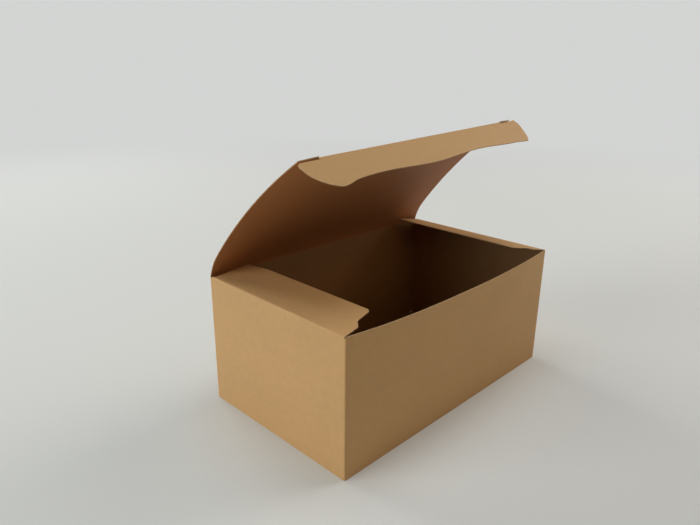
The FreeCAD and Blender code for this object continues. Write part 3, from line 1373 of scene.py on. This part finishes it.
@dataclass
class Creases:
    """The two scored folds that the lid and the tuck flap turn on.

    Attributes:
        lid: The lid.
        tuck: The tuck flap.
        lid_step: Longest distance between two rows of points along the lid's fold.
        tuck_step: The same along the tuck flap's fold.
        lid_bends: Faces round the lid's fold.
        tuck_bends: Faces round the tuck flap's fold.
    """

    lid: Lid
    tuck: Tuck
    lid_step: float = 20 * MM
    tuck_step: float = 8 * MM
    lid_bends: int = 8
    tuck_bends: int = 10

    @staticmethod
    def _between(first: Vector, leave: Vector, last: Vector, arrive: Vector,
                 share: float) -> Vector:
        """Smooth curve between two points with given directions.

        Args:
            first: Start.
            leave: Direction at the start.
            last: End.
            arrive: Direction at the end.
            share: 0 at the start, 1 at the end.

        Returns:
            The point of the curve.
        """
        reach = (last - first).length
        near = first + leave * reach / 3
        far = last - arrive * reach / 3
        left = 1 - share
        return (left ** 3 * first + 3 * left * left * share * near
                + 3 * left * share * share * far + share ** 3 * last)

    def lid_crease(self, finish: Finish) -> bpy.types.Object:
        """Fold between the back wall and the lid.

        Args:
            finish: Materials of the board.

        Returns:
            The piece.
        """
        half = self.lid.half
        blank = Blank("lid_crease", (-half, 0.0), (half, 1.0))
        blank.score(Axis.ALONG, steps(-half, half, self.lid_step))
        blank.score(Axis.UP, [k / self.lid_bends for k in range(1, self.lid_bends)])

        def place(x: float, share: float) -> Vector:
            """Folded place of a point of the strip.

            Args:
                x: Place along the hinge.
                share: 0 at the back wall, 1 at the lid.

            Returns:
                The point in the part's frame.
            """
            first = Vector((x, HINGE.y, HINGE.z - CREASE_CLEARANCE))
            last = self.lid.place(x, CREASE_CLEARANCE)
            arrive = (self.lid.place(x, CREASE_CLEARANCE + MM) - last).normalized()
            return self._between(first, Vector((0.0, 0.0, 1.0)), last, arrive, share)

        ends = [place(0.0, 0.0), place(0.0, 1.0)]
        blank.fold(place, (BACK_WALL_START + half, HEIGHT))
        piece = blank.thicken(finish)
        tuple(ends[0])
        tuple(ends[1])
        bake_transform(piece)
        return piece

    def tuck_crease(self, finish: Finish) -> bpy.types.Object:
        """Fold between the lid and the tuck flap.

        Args:
            finish: Materials of the board.

        Returns:
            The piece.
        """
        width = self.tuck.width
        neck = self.lid.slit + self.tuck.slit_gap
        blank = Blank("tuck_crease", (neck, 0.0), (width - neck, 1.0))
        blank.score(Axis.ALONG, steps(neck, width - neck, self.tuck_step))
        blank.score(Axis.UP, [k / self.tuck_bends for k in range(1, self.tuck_bends)])

        def place(a: float, share: float) -> Vector:
            """Folded place of a point of the strip.

            Args:
                a: Distance along the crease from its left end.
                share: 0 at the lid, 1 at the tuck flap.

            Returns:
                The point in the part's frame.
            """
            x = self.tuck.place(a, 0.0).x
            first = self.lid.place(x, self.lid.length - CREASE_CLEARANCE)
            behind = self.lid.place(x, self.lid.length - 2 * CREASE_CLEARANCE)
            leave = (first - behind).normalized()
            last = self.tuck.place(a, CREASE_CLEARANCE)
            return self._between(first, leave, last, self.tuck.down, share)

        ends = [place(width / 2, 0.0), place(width / 2, 1.0)]
        blank.fold(place, (BACK_WALL_START, HEIGHT + self.lid.length))
        piece = blank.thicken(finish)
        tuple(ends[0])
        tuple(ends[1])
        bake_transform(piece)
        return piece


@dataclass(frozen=True)
class Lamp:
    """A large soft lamp that points at the box.

    Attributes:
        name: Name of the lamp.
        place: Its place.
        power: Its power in watts.
        colour: Its colour.
        size: Length of its sides.
    """

    name: str
    place: tuple[float, float, float]
    power: float
    colour: tuple[float, float, float] = (1.0, 1.0, 1.0)
    size: float = 1.0

    def build(self, target: Vector) -> None:
        """Make the lamp.

        Args:
            target: Point that it faces.
        """
        data = bpy.data.lights.new(self.name, "AREA")
        data.shape = "SQUARE"
        data.size = self.size
        data.energy = self.power
        data.color = self.colour
        lamp = bpy.data.objects.new(self.name, data)
        bpy.context.scene.collection.objects.link(lamp)
        lamp.location = self.place
        lamp.rotation_euler = (target - lamp.location).to_track_quat("-Z", "Y").to_euler()


@dataclass(frozen=True)
class Studio:
    """Camera, floor, lamps and background.

    Attributes:
        camera_place: Place of the camera.
        yaw: Its heading in degrees, to the right of +Y.
        pitch: Angle in degrees by which it looks down.
        roll: Angle in degrees by which it is turned about its own line of sight.
        lens: Focal length in millimetres.
        sensor: Width of the sensor in millimetres.
        near: Least distance that the camera sees.
        floor_colour: Linear colour of the floor.
        far_colour: Linear colour of the background.
        floor_radius: Radius of the floor.
        fade: Distances from the box between which the floor fades into the background.
        lamps: The lamps.
    """

    camera_place: tuple[float, float, float] = (-0.25521, -0.21908, 0.19167)
    yaw: float = 45.408
    pitch: float = 19.263
    roll: float = 0.542
    lens: float = 31.18
    sensor: float = 36.0
    near: float = 10 * MM
    floor_colour: tuple[float, float, float] = (0.675, 0.695, 0.67)
    far_colour: tuple[float, float, float] = (0.65, 0.66, 0.65)
    floor_radius: float = 6.0
    fade: Point = (0.32, 1.15)
    lamps: tuple[Lamp, ...] = (
        Lamp("left_window", (-1.40, 0.50, 0.45), 14.0),
        Lamp("back_window", (0.0, 1.40, 0.60), 12.0, (0.97, 0.95, 0.92)),
        Lamp("ceiling", (0.0, 0.0, 1.60), 9.0, (0.84, 0.93, 1.0)),
        Lamp("right_high", (1.0, -0.30, 1.10), 6.5, (1.0, 0.84, 0.75)),
        Lamp("right_low", (1.4, -0.30, 0.50), 6.0, (1.0, 1.0, 0.95)),
        Lamp("front_high", (-0.3, -1.20, 0.80), 2.0, (1.0, 0.70, 0.45)),
    )

    def camera(self) -> None:
        """Make the camera at the photograph's view."""
        yaw, pitch, roll = (math.radians(a) for a in (self.yaw, self.pitch, self.roll))
        forward = Vector((
            math.sin(yaw) * math.cos(pitch), math.cos(yaw) * math.cos(pitch), -math.sin(pitch)))
        level = Vector((math.cos(yaw), -math.sin(yaw), 0.0))
        rise = level.cross(forward)
        right = level * math.cos(roll) + rise * math.sin(roll)
        up = rise * math.cos(roll) - level * math.sin(roll)
        data = bpy.data.cameras.new("camera")
        data.lens = self.lens
        data.sensor_width = self.sensor
        data.clip_start = self.near
        camera = bpy.data.objects.new("camera", data)
        bpy.context.scene.collection.objects.link(camera)
        turn = Matrix((right, up, -forward)).transposed().to_4x4()
        camera.matrix_world = Matrix.Translation(self.camera_place) @ turn
        bpy.context.scene.camera = camera

    def floor(self) -> None:
        """Lay the floor, which fades into the background far from the box."""
        surface = Surface(bpy.data.materials.new("floor"))
        place = surface.node("TexCoord", output="Object")
        far = surface.node("VectorMath", {"operation": "LENGTH"}, output="Value", _0=place)
        fade = surface.node("MapRange", {"interpolation_type": "SMOOTHSTEP"}, Value=far,
                            From_Min=self.fade[0], From_Max=self.fade[1])
        seen = surface.node("LightPath", output="Is Camera Ray")
        matte = surface.node("BsdfDiffuse", Color=(*self.floor_colour, 1.0))
        glow = surface.node("Emission", Color=(*self.far_colour, 1.0), Strength=1.0)
        shader = surface.node("MixShader", Fac=fade * seen, _1=matte, _2=glow)
        bpy.ops.object.select_all(action="DESELECT")
        bpy.ops.mesh.primitive_circle_add(
            vertices=96, radius=self.floor_radius, fill_type="NGON")
        floor = bpy.context.object
        floor.name = "floor"
        floor.data.materials.append(surface.close(shader))

    def world(self) -> None:
        """Show the camera a plain pale background that lights nothing."""
        world = bpy.data.worlds.new("studio")
        bpy.context.scene.world = world
        sky = Surface(world)
        seen = sky.node("LightPath", output="Is Camera Ray")
        dark = sky.node("Background", Color=(0.0, 0.0, 0.0, 1.0))
        shown = sky.node("Background", Color=(*self.far_colour, 1.0))
        sky.close(sky.node("MixShader", Fac=seen, _1=dark, _2=shown))

    def build(self) -> None:
        """Set the whole scene up."""
        self.camera()
        self.floor()
        self.world()
        target = Vector((0.0, 0.0, HEIGHT / 2))
        for lamp in self.lamps:
            lamp.build(target)
        bpy.context.scene.view_settings.view_transform = "Standard"


def main() -> None:
    """Build the box and the studio."""
    logging.basicConfig(level=logging.INFO, format="%(message)s")
    edge = CutEdge().build("cut_edge")
    outer = Kraft(Face.OUTSIDE.value).build("kraft_outside")
    # The inside materials carry painted shade: the same kraft, coloured darker where the box's
    # interior and the lid's underside lie in shade.
    box_inner_painted_shade = Kraft(Face.BOX_INSIDE.value).build("kraft_box_inside_painted_shade")
    lid_inner_painted_shade = Kraft(Face.LID_INSIDE.value).build("kraft_lid_inside_painted_shade")
    box_finish = Finish(box_inner_painted_shade, edge, outer)
    lid_finish = Finish(lid_inner_painted_shade, edge, outer)
    Studio().build()
    carton = Carton()
    lid = Lid()
    tuck = Tuck(lid)
    creases = Creases(lid, tuck)
    made = [carton.build(box_finish)]
    made += Bottom().build(box_finish)
    made += [
        lid.build(lid_finish),
        tuck.build(lid_finish),
        creases.lid_crease(lid_finish),
        creases.tuck_crease(lid_finish),
    ]
    for piece in made:
        LOG.info("%s: %d faces", piece.name, len(piece.data.polygons))


if __name__ == "__main__":
    main()
